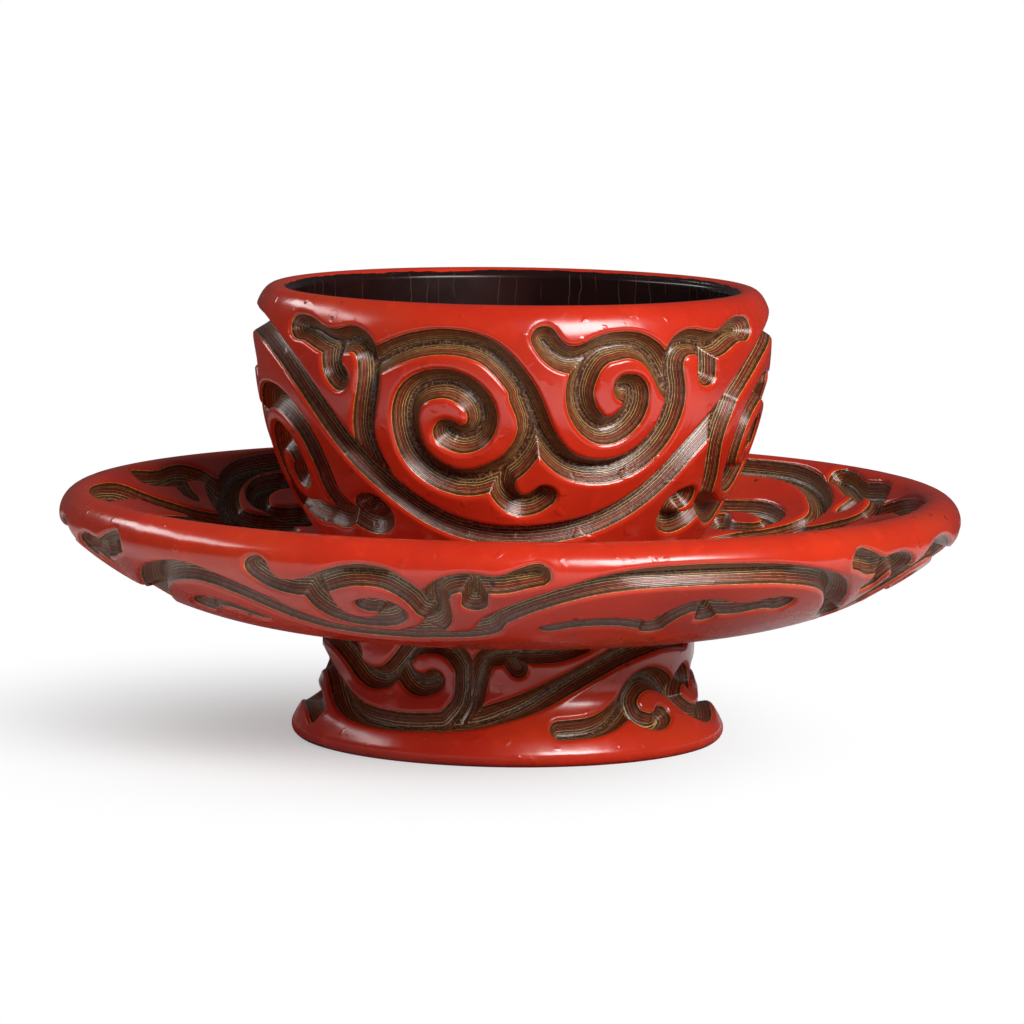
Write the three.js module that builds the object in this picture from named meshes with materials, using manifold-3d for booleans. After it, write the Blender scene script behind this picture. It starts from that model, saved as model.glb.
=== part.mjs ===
// Lacquer cup stand: a bowl-shaped holder for a tea bowl, a wide dish round it, and a low spreading foot.
// Bent-wood hoops, stacked for the holder and the foot and nested for the dish, form the core. A neck sleeve
// joins the three. Thick red lacquer coats cover the outside, and black lacquer lines the hollow, which runs
// right through from the mouth to the foot and has no floor. Scrolls are cut into the coats of the holder and
// the dish as grooves of triangular section.
// Millimetres, +Z up. The origin is the centre of the circle that the foot stands on.
import * as THREE from "three";
import { mergeVertices } from "three/addons/utils/BufferGeometryUtils.js";
import Module from "manifold-3d";

// Driving dimensions of the outside.
const standHeight = 82.7;
const bellyRadius = 47.4; // widest part of the holder
const lipCrestRadius = 43.4; // ring that runs along the top of the lip
const lipHeight = 8; // from the belly up to the crest of the lip
const lipInnerDrop = 0.9; // from the crest down to the edge of the black lining
const cupBaseRadius = 31; // where the holder's wall meets the dish
const cupUpperHandle = 15; // how far the wall keeps straight below the belly
const cupLowerHandle = new THREE.Vector2(11.9, 13); // run and rise with which the wall leaves the dish
const dishRadius = 82.5;
const dishRimHeight = 40.9; // middle of the rolled rim
const dishRimHalf = 4.5; // half the rim's thickness
const dishNeckHeight = 27; // middle of the dish beside the neck
const dishNeckHalf = 5.2; // half the dish's thickness beside the neck
const dishFlatRadius = 38; // the dish is flat out to here
const dishInnerEase = 0.4; // how gently the dish leaves the flat, as a share of the way out to the rim
const dishRimEase = new THREE.Vector2(0.275, 0.676); // how it meets the rim, as shares of the ways out and up
const footNeckRadius = 33.8;
const footWaistRadius = 34.2;
const footWaistHeight = 11.5;
const footRadius = 39.7;
const footToeHeight = 2.4; // height of the foot's widest ring
const footFlareHeight = 5.1; // height at which the flare is steepest
const footFlareShare = 0.73; // how much of the spread from the waist is reached there
const footShoulderShare = 0.25; // and how much halfway from the waist to that height

// Driving dimensions of the build-up, from the outside in.
const coatThickness = 3.8; // carved lacquer
const seam = 0.3; // cloth, ash ground and glue between two pieces
const hoopThickness = 1.9; // bent wood of the holder and the foot
const dishCoreThickness = 1.8; // bent wood of the dish
const liningThickness = 0.65; // black lacquer
const baseCoatThickness = 0.6; // black lacquer under the foot
const neckBoreRadius = 23; // clear way through the neck
const sleeveThickness = 1.7;
const sleeveAbove = 7.6; // how far the sleeve stands above the dish's middle
const sleeveBelow = 11; // and how far it hangs below it
const cupHoopCount = 5;
const dishHoopCount = 5;
const footHoopCount = 3;

// Finishes.
const redLacquer = new THREE.MeshStandardMaterial({ color: 0xb01c10, roughness: 0.3 });
const blackLacquer = new THREE.MeshStandardMaterial({ color: 0x1c0b0a, roughness: 0.25 });
const bentWood = new THREE.MeshStandardMaterial({ color: 0xa57a4c, roughness: 0.8 });

// The carving.
const grooveDepth = 2.7;
const grooveHalfWidth = 2.7; // at the surface
const grooveLift = 1.6; // how far a cutter stands out of the surface
const grooveStep = 7; // longest straight stretch of a groove
const grooveEnd = 0.6; // size of a groove's section at its ends, as a share of the full one

// Straight stretches that stand for a round one.
const segments = 44; // round the axis
const lipSteps = 8; // in each quarter of the lip
const cupSteps = 7; // down the holder's wall
const dishSteps = 6; // from the neck to the rim
const rimSteps = 8; // round the rim
const footSteps = 7; // down the foot
const fineSteps = 24; // in a line that carving is drawn on

const stand = new THREE.Group();
const wasm = await Module();
wasm.setup();

const at = (radius, height) => new THREE.Vector2(radius, height);

function add(name, geometry, material) {
  const mesh = new THREE.Mesh(geometry, material);
  mesh.name = name;
  stand.add(mesh);
}

// The shape that a closed outline of (radius, height) points makes when it is turned about the axis.
function turned(outline) {
  const points = THREE.ShapeUtils.area(outline) > 0 ? outline : [...outline].reverse();
  return new THREE.LatheGeometry([...points, points[0]], segments).rotateX(Math.PI / 2);
}

const turn = (name, outline, material) => add(name, turned(outline), material);

function solidOf(geometry) {
  const bare = geometry.clone();
  bare.deleteAttribute("normal");
  bare.deleteAttribute("uv");
  const merged = mergeVertices(bare);
  const mesh = new wasm.Mesh({
    numProp: 3,
    vertProperties: new Float32Array(merged.getAttribute("position").array),
    triVerts: new Uint32Array(merged.index.array),
  });
  return new wasm.Manifold(mesh);
}

function geometryOf(solid) {
  const mesh = solid.getMesh();
  const geometry = new THREE.BufferGeometry();
  geometry.setAttribute("position", new THREE.BufferAttribute(mesh.vertProperties, 3));
  geometry.setIndex(new THREE.BufferAttribute(mesh.triVerts, 1));
  geometry.computeVertexNormals();
  return geometry;
}

// A line of (radius, height) as a surface that carving is drawn on. A place on it is an angle in degrees, 0 at
// the front and 90 at the right, and a percentage of the way along the line. outward is 1 if the outside is to
// the left of the line as it runs, and -1 if it is to the right.
function surface(line, outward) {
  const curve = new THREE.SplineCurve(line);
  return (degrees, percent, lift) => {
    const share = THREE.MathUtils.clamp(percent / 100, 0, 1);
    const along = curve.getTangentAt(share).multiplyScalar(outward * lift);
    const point = curve.getPointAt(share).add(at(-along.y, along.x));
    const turnBy = THREE.MathUtils.degToRad(degrees);
    return new THREE.Vector3(point.x * Math.sin(turnBy), -point.x * Math.cos(turnBy), point.y);
  };
}

// A curve over a surface through the places of a stroke.
class Drawn extends THREE.Curve {
  constructor(place, stroke) {
    super();
    this.place = place;
    this.flat = new THREE.SplineCurve(stroke.map((spot) => at(...spot)));
  }
  getPoint(t) {
    return this.lifted(t, 0);
  }
  lifted(t, lift) {
    const spot = this.flat.getPoint(t);
    return this.place(spot.x, spot.y, lift);
  }
}

// What a stroke takes away: a triangular bar, point down, that follows the stroke over the surface.
function cutter(place, stroke) {
  const drawn = new Drawn(place, stroke);
  const count = Math.max(2, Math.ceil(drawn.getLength() / grooveStep));
  const spread = (grooveHalfWidth * (grooveDepth + grooveLift)) / grooveDepth;
  const corners = [];
  for (let i = 0; i <= count; i++) {
    const t = drawn.getUtoTmapping(i / count);
    const size = i === 0 || i === count ? grooveEnd : 1;
    const top = drawn.lifted(t, grooveLift);
    const bottom = drawn.lifted(t, -grooveDepth * size);
    const side = drawn.getTangent(t).cross(top.clone().sub(bottom)).setLength(spread * size);
    corners.push(top.clone().add(side), top.clone().sub(side), bottom);
  }
  const last = count * 3;
  const faces = [0, 1, 2, last, last + 2, last + 1];
  for (let i = 0; i < last; i += 3) {
    for (const [a, b] of [[i, i + 1], [i + 1, i + 2], [i + 2, i]]) faces.push(a, a + 3, b, b, a + 3, b + 3);
  }
  const bar = new THREE.BufferGeometry().setFromPoints(corners);
  bar.setIndex(faces);
  return solidOf(bar);
}

// The coat with every stroke cut into it.
function carved(outline, cutters) {
  return geometryOf(wasm.Manifold.difference([solidOf(turned(outline)), ...cutters]));
}

// A line moved sideways: to its right as it runs, by one distance or by a distance that grows along it.
function offset(line, startDistance, endDistance = startDistance) {
  return line.map((point, i) => {
    const before = line[Math.max(i - 1, 0)];
    const after = line[Math.min(i + 1, line.length - 1)];
    const along = after.clone().sub(before).normalize();
    const distance = THREE.MathUtils.lerp(startDistance, endDistance, i / (line.length - 1));
    return at(point.x + along.y * distance, point.y - along.x * distance);
  });
}

// The point of a falling line at one height. Past its ends the line runs straight up and down.
function pointAt(line, height) {
  const i = line.findIndex((point) => point.y <= height);
  if (i < 0) return at(line.at(-1).x, height);
  if (i === 0) return at(line[0].x, height);
  const share = (line[i - 1].y - height) / (line[i - 1].y - line[i].y);
  return at(THREE.MathUtils.lerp(line[i - 1].x, line[i].x, share), height);
}

// The stretch of a falling line between two heights.
function between(line, top, bottom) {
  const inside = line.filter((point) => point.y < top - seam && point.y > bottom + seam);
  return [pointAt(line, top), ...inside, pointAt(line, bottom)];
}

// A closed outline from two lines that run the same way.
const wall = (outer, inner) => [...outer, ...[...inner].reverse()];

// A straight-sided hoop that lies along a line from one joint to just short of the next.
function turnHoop(name, from, to, thickness) {
  const line = [from, to.clone().lerp(from, seam / from.distanceTo(to))];
  turn(name, wall(offset(line, -thickness / 2), offset(line, thickness / 2)), bentWood);
}

// Depths below the outside at which each layer starts.
const hoopDepth = coatThickness + seam;
const liningDepth = hoopDepth + hoopThickness + seam;
const boreDepth = liningDepth + liningThickness;
const coreHalf = dishCoreThickness / 2;

// The neck, where the holder, the dish and the foot meet.
const dishTop = dishNeckHeight + dishNeckHalf;
const dishUnder = dishNeckHeight - dishNeckHalf;
const sleeveInner = neckBoreRadius + liningThickness + seam;
const sleeveOuter = sleeveInner + sleeveThickness;
const sleeveTop = dishNeckHeight + sleeveAbove;
const sleeveBottom = dishNeckHeight - sleeveBelow;
const cupSeat = sleeveTop + seam;
const coreInner = sleeveOuter + seam;

// The holder's wall without its lip, falling from the belly to the dish.
const bellyHeight = standHeight - lipHeight;
const cupWall = new THREE.CubicBezierCurve(
  at(bellyRadius, bellyHeight),
  at(bellyRadius, bellyHeight - cupUpperHandle),
  at(cupBaseRadius + cupLowerHandle.x, dishTop + cupLowerHandle.y),
  at(cupBaseRadius, dishTop),
);

// The joints between the holder's hoops, in the middle of their thickness.
const cupHoopTop = standHeight - coatThickness - seam;
const cupCorePath = new THREE.CurvePath();
cupCorePath.add(new THREE.LineCurve(at(bellyRadius, cupHoopTop), at(bellyRadius, bellyHeight)));
cupCorePath.add(cupWall);
const cupJoints = offset(cupCorePath.getSpacedPoints(cupHoopCount), hoopDepth + hoopThickness / 2);

// The foot's side, falling from the dish to its widest ring.
const footSpread = footRadius - footWaistRadius;
const footSide = new THREE.SplineCurve([
  at(footNeckRadius, dishUnder),
  at(footWaistRadius, (dishUnder + footWaistHeight) / 2),
  at(footWaistRadius, footWaistHeight),
  at(footWaistRadius + footSpread * footShoulderShare, (footWaistHeight + footFlareHeight) / 2),
  at(footWaistRadius + footSpread * footFlareShare, footFlareHeight),
  at(footRadius, footToeHeight),
]).getPoints(footSteps);

// The scrolls, as strokes through (degrees, percent) places. One motif stands between two crests of a wave.
const cupWave = [
  [-91, 14], [-74, 15], [-60, 22.5], [-45, 42], [-30, 63], [-14, 77], [0, 80], [14, 78], [31, 69], [45, 50.5],
  [60, 31], [74, 19], [91, 14],
];
const cupMotif = [
  [[-54.5, 13], [-43, 16], [-36, 15.5], [-32.7, 22], [-33.5, 33], [-35, 46], [-32.5, 58]],
  [[-32.5, 23], [-25, 17.5], [-15, 14], [-6, 17], [1.7, 27.5], [6, 41], [12, 52.5], [20, 56], [30, 52.5], [37, 41],
    [38, 27], [38.5, 18], [43, 15], [50, 16.5], [62, 12.5]],
  [[4.9, 40], [1.5, 52], [-6, 59.5], [-14, 59.5], [-21, 53], [-24, 42.5], [-21.6, 31], [-14, 27.5], [-7.5, 34],
    [-8, 43]],
  [[-1.5, 57.5], [0, 66], [8, 65]],
  [[6.9, 13], [13, 19], [20, 16], [28, 15.5], [34, 22], [37, 28]],
  [[16, 19.5], [14.8, 30], [18, 40], [24, 41.5], [28, 33]],
];
const underMotif = [
  [[-18, 14.5], [-15, 22], [-10.3, 20], [-4, 15], [0.5, 18.5], [3.4, 32]],
  [[-10.8, 21], [-11.3, 31], [-8.7, 40], [-4, 39], [-1.9, 31]],
  [[0, 47.5], [4, 38], [4.8, 23], [8.5, 16.3], [13.5, 16.5], [17.3, 13]],
];
const underWideWave = [
  [[-39, 51], [-30, 46], [-26, 34.5], [-18, 21], [-7, 14], [5, 14.5], [18, 19.5], [26.5, 33], [32, 44.5], [41, 51]],
  [[-3.5, 43], [-1.7, 32.5], [3, 30], [9, 32], [14.8, 31.5]],
];
const underNarrowWave = [[[-31, 47], [-18, 37], [-8, 24], [0, 20], [7, 27.5], [13, 42], [20, 50], [30, 51]]];
const insideMotif = [
  [[-20.3, 17], [-15.8, 10.5], [-9.8, 12], [-2.8, 7]],
  [[-20.3, 17], [-20.5, 27], [-9.8, 45]],
  [[-44.3, 9.5], [-32, 11.5], [-23.5, 20], [-20, 34], [-27.3, 48]],
  [[-36, 27], [-29, 33], [-29.3, 41], [-35.5, 41]],
  [[41, 8], [23, 7.5], [10.7, 8.5], [-1.3, 16.5], [-7.5, 27], [-8, 39], [-2.8, 52], [1.5, 62]],
  [[28, 35], [13.7, 33.5], [2.7, 34], [0, 45], [8.7, 48]],
];
const insideLongMotif = [
  [[-2, 8], [-9, 11], [-14.5, 10.5], [-17.5, 16], [-15.5, 24], [-12, 36]],
  [[-32, 11], [-23, 15], [-17.5, 25], [-14.6, 38], [-18.5, 46], [-28, 51]],
  [[-31, 23], [-23.5, 30], [-23, 39], [-29, 42.5]],
  [[33, 6], [19, 8.4], [9, 12], [3, 20.6], [-4, 30], [-12, 38], [-19, 46]],
  [[14, 29.4], [2.6, 35], [-8, 44.6], [-15.6, 50]],
];

// Where the motifs of the dish stand, in degrees. A mirrored one is turned over left to right.
const insideAngles = [6, 126.3];
const insideLongAngle = 251;
const underAngles = [-75, -14, 126.5];
const underMirroredAngles = [65.5, 206];
const wideWaveAngles = [25, 166, 245];
const narrowWaveAngles = [-44, 96.5];

// Strokes turned about the axis and, if flip is -1, mirrored first.
const turnedBy = (degrees, strokes, flip = 1) =>
  strokes.map((stroke) => stroke.map(([angle, percent]) => [angle * flip + degrees, percent]));

// Strokes upside down between the crests and the troughs of the holder's wave.
const [waveCrest, waveTrough] = [14, 80];
const overturned = (strokes) =>
  strokes.map((stroke) => stroke.map(([angle, percent]) => [angle, waveCrest + waveTrough - percent]));

function cupCutters(line) {
  const place = surface(line, 1);
  const halfTurn = [cupWave, ...cupMotif, ...turnedBy(90, overturned(cupMotif))];
  return [...halfTurn, ...turnedBy(180, halfTurn)].map((stroke) => cutter(place, stroke));
}

function carvedCupCoat() {
  const mouthRadius = bellyRadius - liningDepth + seam;
  const crest = standHeight - lipInnerDrop;
  const browWidth = bellyRadius - lipCrestRadius;
  const quarter = Math.PI / 2;
  const lipInside = lipCrestRadius - mouthRadius;
  const lip = new THREE.EllipseCurve(lipCrestRadius, crest, lipInside, lipInnerDrop, quarter * 2, quarter, true);
  const brow = new THREE.EllipseCurve(lipCrestRadius, bellyHeight, browWidth, lipHeight, quarter, 0, true);
  const drawnOn = [...brow.getPoints(fineSteps / 2), ...cupWall.getPoints(fineSteps).slice(1)];
  const outside = [
    ...lip.getPoints(lipSteps),
    ...brow.getPoints(lipSteps).slice(1),
    ...cupWall.getPoints(cupSteps).slice(1),
  ];
  const inside = offset(cupJoints, -hoopThickness / 2 - seam);
  inside[0].y = standHeight - coatThickness;
  inside.unshift(at(mouthRadius, inside[0].y));
  inside.push(at(inside.at(-1).x, dishTop));
  add("cup_carved_coat", carved(wall(outside, inside), cupCutters(drawnOn)), redLacquer);
}

function cupHoops() {
  for (let i = 1; i < cupHoopCount; i++) {
    turnHoop(`cup_hoop_${i}`, cupJoints[i - 1], cupJoints[i], hoopThickness);
  }
  // The lowest hoop is rabbeted over the sleeve and stands on the dish's innermost hoop.
  const joints = cupJoints.slice(-2);
  const foot = dishNeckHeight + coreHalf;
  const outer = offset(joints, -hoopThickness / 2);
  const inner = offset(joints, hoopThickness / 2);
  outer.push(at(outer[1].x, foot));
  const rabbet = [inner[0], pointAt(inner, cupSeat), at(coreInner, cupSeat), at(coreInner, foot)];
  turn("cup_seat_hoop", wall(outer, rabbet), bentWood);
}

function cupLining() {
  const ledge = cupSeat + seam;
  const outer = offset(cupJoints, hoopThickness / 2 + seam);
  const inner = offset(cupJoints, hoopThickness / 2 + seam + liningThickness);
  outer[0].y = standHeight - lipInnerDrop - seam;
  inner[0].y = outer[0].y;
  outer.push(at(neckBoreRadius + liningThickness, ledge), at(neckBoreRadius + liningThickness, dishNeckHeight));
  inner.push(at(neckBoreRadius, ledge + liningThickness), at(neckBoreRadius, dishNeckHeight));
  turn("cup_lining", wall(outer, inner), blackLacquer);
}

// The middle of the dish's thickness, from the flat round the neck out to the middle of the rim.
const rimCentre = at(dishRadius - dishRimHalf, dishRimHeight);
const flatEdge = at(dishFlatRadius, dishNeckHeight);
const dishWay = rimCentre.clone().sub(flatEdge);
const rimHandle = dishWay.clone().multiply(dishRimEase);
const dishMiddle = new THREE.CubicBezierCurve(
  flatEdge,
  at(flatEdge.x + dishWay.x * dishInnerEase, flatEdge.y),
  rimCentre.clone().sub(rimHandle),
  rimCentre,
);
const dishJoints = dishMiddle.getSpacedPoints(dishHoopCount - 1);
const rimSlope = Math.atan2(rimHandle.y, rimHandle.x);

// The dish's outside from the crest of its rim, over the inside (side -1) or the underside (side 1), to the neck.
function dishSide(side, neckRadius) {
  const line = offset(dishMiddle.getPoints(fineSteps), dishNeckHalf * side, dishRimHalf * side).reverse();
  const start = Math.PI / 2;
  const end = side < 0 ? start + rimSlope : rimSlope - start;
  const rim = new THREE.EllipseCurve(rimCentre.x, rimCentre.y, dishRimHalf, dishRimHalf, start, end, side > 0);
  const neck = at(neckRadius, dishNeckHeight - dishNeckHalf * side);
  return [...rim.getPoints(fineSteps / 2), ...line.slice(1), neck];
}

function dishCutters() {
  const inside = surface(dishSide(-1, cupBaseRadius), -1);
  const underside = surface(dishSide(1, footNeckRadius), 1);
  const insideStrokes = [
    ...insideAngles.flatMap((degrees) => turnedBy(degrees, insideMotif)),
    ...turnedBy(insideLongAngle, insideLongMotif),
  ];
  const undersideStrokes = [
    ...underAngles.flatMap((degrees) => turnedBy(degrees, underMotif)),
    ...underMirroredAngles.flatMap((degrees) => turnedBy(degrees, underMotif, -1)),
    ...wideWaveAngles.flatMap((degrees) => turnedBy(degrees, underWideWave)),
    ...narrowWaveAngles.flatMap((degrees) => turnedBy(degrees, underNarrowWave)),
  ];
  return [
    ...insideStrokes.map((stroke) => cutter(inside, stroke)),
    ...undersideStrokes.map((stroke) => cutter(underside, stroke)),
  ];
}

function carvedDishCoat() {
  const middle = dishMiddle.getPoints(dishSteps);
  const top = offset(middle, -dishNeckHalf, -dishRimHalf);
  const under = offset(middle, dishNeckHalf, dishRimHalf);
  const quarter = Math.PI / 2;
  const ends = [rimSlope + quarter, rimSlope - quarter];
  const rim = new THREE.EllipseCurve(rimCentre.x, rimCentre.y, dishRimHalf, dishRimHalf, ...ends, true);
  const hollowHalf = coreHalf + seam;
  const cupNeck = offset(cupJoints, -hoopThickness / 2 - seam).at(-1).x;
  const footNeck = footNeckRadius - coatThickness;
  const outline = [
    at(cupNeck, dishTop),
    ...top,
    ...rim.getPoints(rimSteps).slice(1, -1),
    ...under.reverse(),
    at(footNeck, dishUnder),
    at(footNeck, dishNeckHeight - hollowHalf),
    ...offset(dishJoints, hollowHalf),
    ...offset(dishJoints, -hollowHalf).reverse(),
    at(cupNeck, dishNeckHeight + hollowHalf),
  ];
  add("dish_carved_coat", carved(outline, dishCutters()), redLacquer);
}

function dishHoops() {
  // The innermost hoop is flat and lies round the sleeve. The rest follow the dish outwards and upwards.
  const joints = [at(coreInner, dishNeckHeight), ...dishJoints];
  for (let i = 1; i <= dishHoopCount; i++) {
    turnHoop(`dish_hoop_${i}`, joints[i - 1], joints[i], dishCoreThickness);
  }
}

function neckSleeve() {
  const outer = [at(sleeveOuter, sleeveTop), at(sleeveOuter, sleeveBottom)];
  const inner = [at(sleeveInner, sleeveTop), at(sleeveInner, sleeveBottom)];
  turn("neck_sleeve", wall(outer, inner), bentWood);
}

function carvedFootCoat() {
  const outside = [...footSide, at(footRadius - baseCoatThickness, baseCoatThickness)];
  const inside = between(offset(footSide, coatThickness), dishUnder, baseCoatThickness);
  turn("foot_carved_coat", wall(outside, inside), redLacquer);
}

function footHoops() {
  const outerLine = offset(footSide, hoopDepth);
  const innerLine = offset(footSide, hoopDepth + hoopThickness);
  // The top hoop fills the space between the sleeve and the coat, under the dish's innermost hoop.
  const top = dishNeckHeight - coreHalf;
  const outer = between(outerLine, top, sleeveBottom);
  turn("foot_hoop_1", wall(outer, [at(coreInner, top), at(coreInner, sleeveBottom)]), bentWood);
  const rise = (sleeveBottom - baseCoatThickness) / (footHoopCount - 1);
  for (let i = 0; i < footHoopCount - 1; i++) {
    const high = sleeveBottom - rise * i;
    const low = high - rise;
    turn(`foot_hoop_${i + 2}`, wall(between(outerLine, high, low), between(innerLine, high, low)), bentWood);
  }
}

function footLining() {
  const shoulder = sleeveBottom - seam;
  const outer = between(offset(footSide, liningDepth), shoulder, baseCoatThickness);
  const inner = between(offset(footSide, boreDepth), shoulder - liningThickness, baseCoatThickness);
  outer.unshift(at(neckBoreRadius + liningThickness, shoulder));
  outer.unshift(at(neckBoreRadius + liningThickness, dishNeckHeight));
  inner.unshift(at(neckBoreRadius, dishNeckHeight), at(neckBoreRadius, shoulder - liningThickness));
  turn("foot_lining", wall(outer, inner), blackLacquer);
}

function baseCoat() {
  const outerRadius = footRadius - baseCoatThickness;
  const innerRadius = footRadius - boreDepth;
  const outer = [at(outerRadius, baseCoatThickness), at(outerRadius, 0)];
  const inner = [at(innerRadius, baseCoatThickness), at(innerRadius, 0)];
  turn("foot_base_coat", wall(outer, inner), blackLacquer);
}

carvedCupCoat();
cupHoops();
cupLining();
carvedDishCoat();
dishHoops();
neckSleeve();
carvedFootCoat();
footHoops();
footLining();
baseCoat();

export default stand;
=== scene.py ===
"""Looks of the lacquer cup stand: carved coats, linings, finishes, camera, light and floor.

Lengths are millimetres until a mesh is made, and metres in the finishes and for the camera and the lamps.
A place on a turned surface is (angle, run): the angle in degrees round the axis, 0 at the front and 90 at the
right, and the run in millimetres along the surface from its start.
"""

import math

import bpy
import numpy as np
from mathutils import Matrix, Vector


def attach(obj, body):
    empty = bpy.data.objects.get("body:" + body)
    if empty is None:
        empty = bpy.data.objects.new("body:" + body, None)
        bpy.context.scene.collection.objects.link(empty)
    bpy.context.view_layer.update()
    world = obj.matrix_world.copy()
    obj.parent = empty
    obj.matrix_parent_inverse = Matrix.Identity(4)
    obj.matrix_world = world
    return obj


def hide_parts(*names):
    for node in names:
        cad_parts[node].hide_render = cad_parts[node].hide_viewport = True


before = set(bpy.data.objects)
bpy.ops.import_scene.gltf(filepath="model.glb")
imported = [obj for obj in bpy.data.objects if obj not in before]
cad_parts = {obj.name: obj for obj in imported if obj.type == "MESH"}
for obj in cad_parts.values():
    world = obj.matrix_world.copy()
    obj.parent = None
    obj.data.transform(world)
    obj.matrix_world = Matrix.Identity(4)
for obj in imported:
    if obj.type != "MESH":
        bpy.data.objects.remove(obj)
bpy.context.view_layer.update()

MM = 0.001
SAME_POINT = 1e-6

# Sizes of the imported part.
STAND_HEIGHT = 82.7
BELLY_RADIUS = 47.4
BELLY_HEIGHT = 74.7
LIP_CREST_RADIUS = 43.4
LIP_INNER_DROP = 0.9
MOUTH_RADIUS = 41.4
CUP_BASE_RADIUS = 31
DISH_TOP = 32.2
DISH_UNDER = 21.8
DISH_MIDDLE = 27
DISH_FLAT_RADIUS = 38
RIM_RADIUS = 78
RIM_HEIGHT = 40.9
RIM_HALF = 4.5
NECK_HALF = 5.2
FOOT_NECK_RADIUS = 33.8
FOOT_WAIST_RADIUS = 34.2
FOOT_WAIST_HEIGHT = 11.5
FOOT_RADIUS = 39.7
FOOT_TOE_HEIGHT = 2.4
NECK_BORE_RADIUS = 23
BORE_BACK_RADIUS = 23.65
BASE_COAT = 0.6
BASE_EDGE = 0.15
BASE_SEAM = 0.05
BASE_RADIUS = 38.6
BASE_INNER_RADIUS = 32.75

# How deep the pieces lie under the outside.
COAT = 3.8
DISH_COAT = 3.5
LINING_BACK = 6.3
LINING_FACE = 6.95


def bezier(start, from_start, to_end, end, count=60):
    t = np.linspace(0, 1, count)[:, None]
    start, from_start, to_end, end = (np.array(p, float) for p in (start, from_start, to_end, end))
    return (1 - t) ** 3 * start + 3 * (1 - t) ** 2 * t * from_start + 3 * (1 - t) * t**2 * to_end + t**3 * end


def arc(centre, across, up, start_deg, end_deg, count=40):
    a = np.radians(np.linspace(start_deg, end_deg, count))
    return np.stack([centre[0] + across * np.cos(a), centre[1] + up * np.sin(a)], 1)


def spline(points, step, scale=1.0):
    """Points about one step apart on the smooth curve through the given ones. scale makes them lengths."""
    p = np.array(points, float)
    h = np.linalg.norm(np.diff(p[:, :2] * scale, axis=0), axis=1)
    t = np.concatenate([[0], np.cumsum(h)])
    bend = np.eye(len(p))
    pull = np.zeros_like(p)
    for i in range(1, len(p) - 1):
        bend[i, i - 1 : i + 2] = h[i - 1], 2 * (h[i - 1] + h[i]), h[i]
        pull[i] = 6 * ((p[i + 1] - p[i]) / h[i] - (p[i] - p[i - 1]) / h[i - 1])
    m = np.linalg.solve(bend, pull)
    u = np.linspace(0, t[-1], max(2, round(t[-1] / step) + 1))
    k = np.clip(np.searchsorted(t, u, side="right") - 1, 0, len(p) - 2)
    b = ((u - t[k]) / h[k])[:, None]
    a = 1 - b
    span = (h[k] ** 2 / 6)[:, None]
    return a * p[k] + b * p[k + 1] + span * ((a**3 - a) * m[k] + (b**3 - b) * m[k + 1])


class Turned:
    """A surface turned about the axis, from a line of (radius, height). side is 1 if the outside is on the
    left of the line as it runs, and -1 if it is on the right. start is the run at the line's first point."""

    def __init__(self, line, side=1, start=0.0):
        steps = np.linalg.norm(np.diff(line, axis=0), axis=1)
        apart = steps > SAME_POINT
        self.line = np.array(line)[np.concatenate([[True], apart])]
        self.run = start + np.concatenate([[0], np.cumsum(steps[apart])])
        along = np.gradient(self.line, self.run, axis=0)
        out = np.stack([-along[:, 1], along[:, 0]], 1) * side
        self.out = out / np.linalg.norm(out, axis=1, keepdims=True)

    def at(self, run, depth=0.0):
        """(radius, height) at a run, depth below the surface."""
        r, z = (np.interp(run, self.run, self.line[:, k]) for k in (0, 1))
        nr, nz = (np.interp(run, self.run, self.out[:, k]) for k in (0, 1))
        size = np.hypot(nr, nz)
        return r - nr / size * depth, z - nz / size * depth


def spun(r, z, angles):
    """Points at every angle for radii and heights that broadcast against them."""
    a = np.radians(angles)
    return np.stack(np.broadcast_arrays(r * np.sin(a), -r * np.cos(a), z), -1)


def turn_in(columns):
    """The angles of a full turn in equal steps."""
    return np.arange(columns) * 360 / columns


def as_columns(line):
    """The radii and the heights of a line, one below the other."""
    return np.array(line).T[:, :, None]


def cup_outside():
    lip_width = LIP_CREST_RADIUS - MOUTH_RADIUS
    lip = arc((LIP_CREST_RADIUS, STAND_HEIGHT - LIP_INNER_DROP), lip_width, LIP_INNER_DROP, 180, 90)
    fall = STAND_HEIGHT - BELLY_HEIGHT
    brow = arc((LIP_CREST_RADIUS, BELLY_HEIGHT), BELLY_RADIUS - LIP_CREST_RADIUS, fall, 90, 0)
    belly, base = (BELLY_RADIUS, BELLY_HEIGHT), (CUP_BASE_RADIUS, DISH_TOP)
    wall = bezier(belly, (BELLY_RADIUS, 59.7), (42.9, 45.2), base)
    inner = np.linalg.norm(np.diff(lip, axis=0), axis=1).sum()
    return Turned(np.vstack([lip, brow, wall]), start=-inner)


def dish_lines():
    """The dish's upper and lower line, from the rim inwards."""
    flat_end, rim = (DISH_FLAT_RADIUS, DISH_MIDDLE), (RIM_RADIUS, RIM_HEIGHT)
    middle = bezier(flat_end, (54, DISH_MIDDLE), (67, 31.5), rim, 90)
    along = np.gradient(middle, axis=0)
    along /= np.linalg.norm(along, axis=1, keepdims=True)
    half = np.linspace(NECK_HALF, RIM_HALF, len(middle))[:, None]
    sideways = np.stack([along[:, 1], -along[:, 0]], 1) * half
    return (middle - sideways)[::-1], (middle + sideways)[::-1]


RIM_SLOPE = math.degrees(math.atan2(9.4, 11))  # of the dish's middle where it meets the rim


def dish_underside():
    rim = arc((RIM_RADIUS, RIM_HEIGHT), RIM_HALF, RIM_HALF, 90, RIM_SLOPE - 90)
    return Turned(np.vstack([rim[:-1], dish_lines()[1], [[FOOT_NECK_RADIUS - 2, DISH_UNDER]]]))


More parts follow.
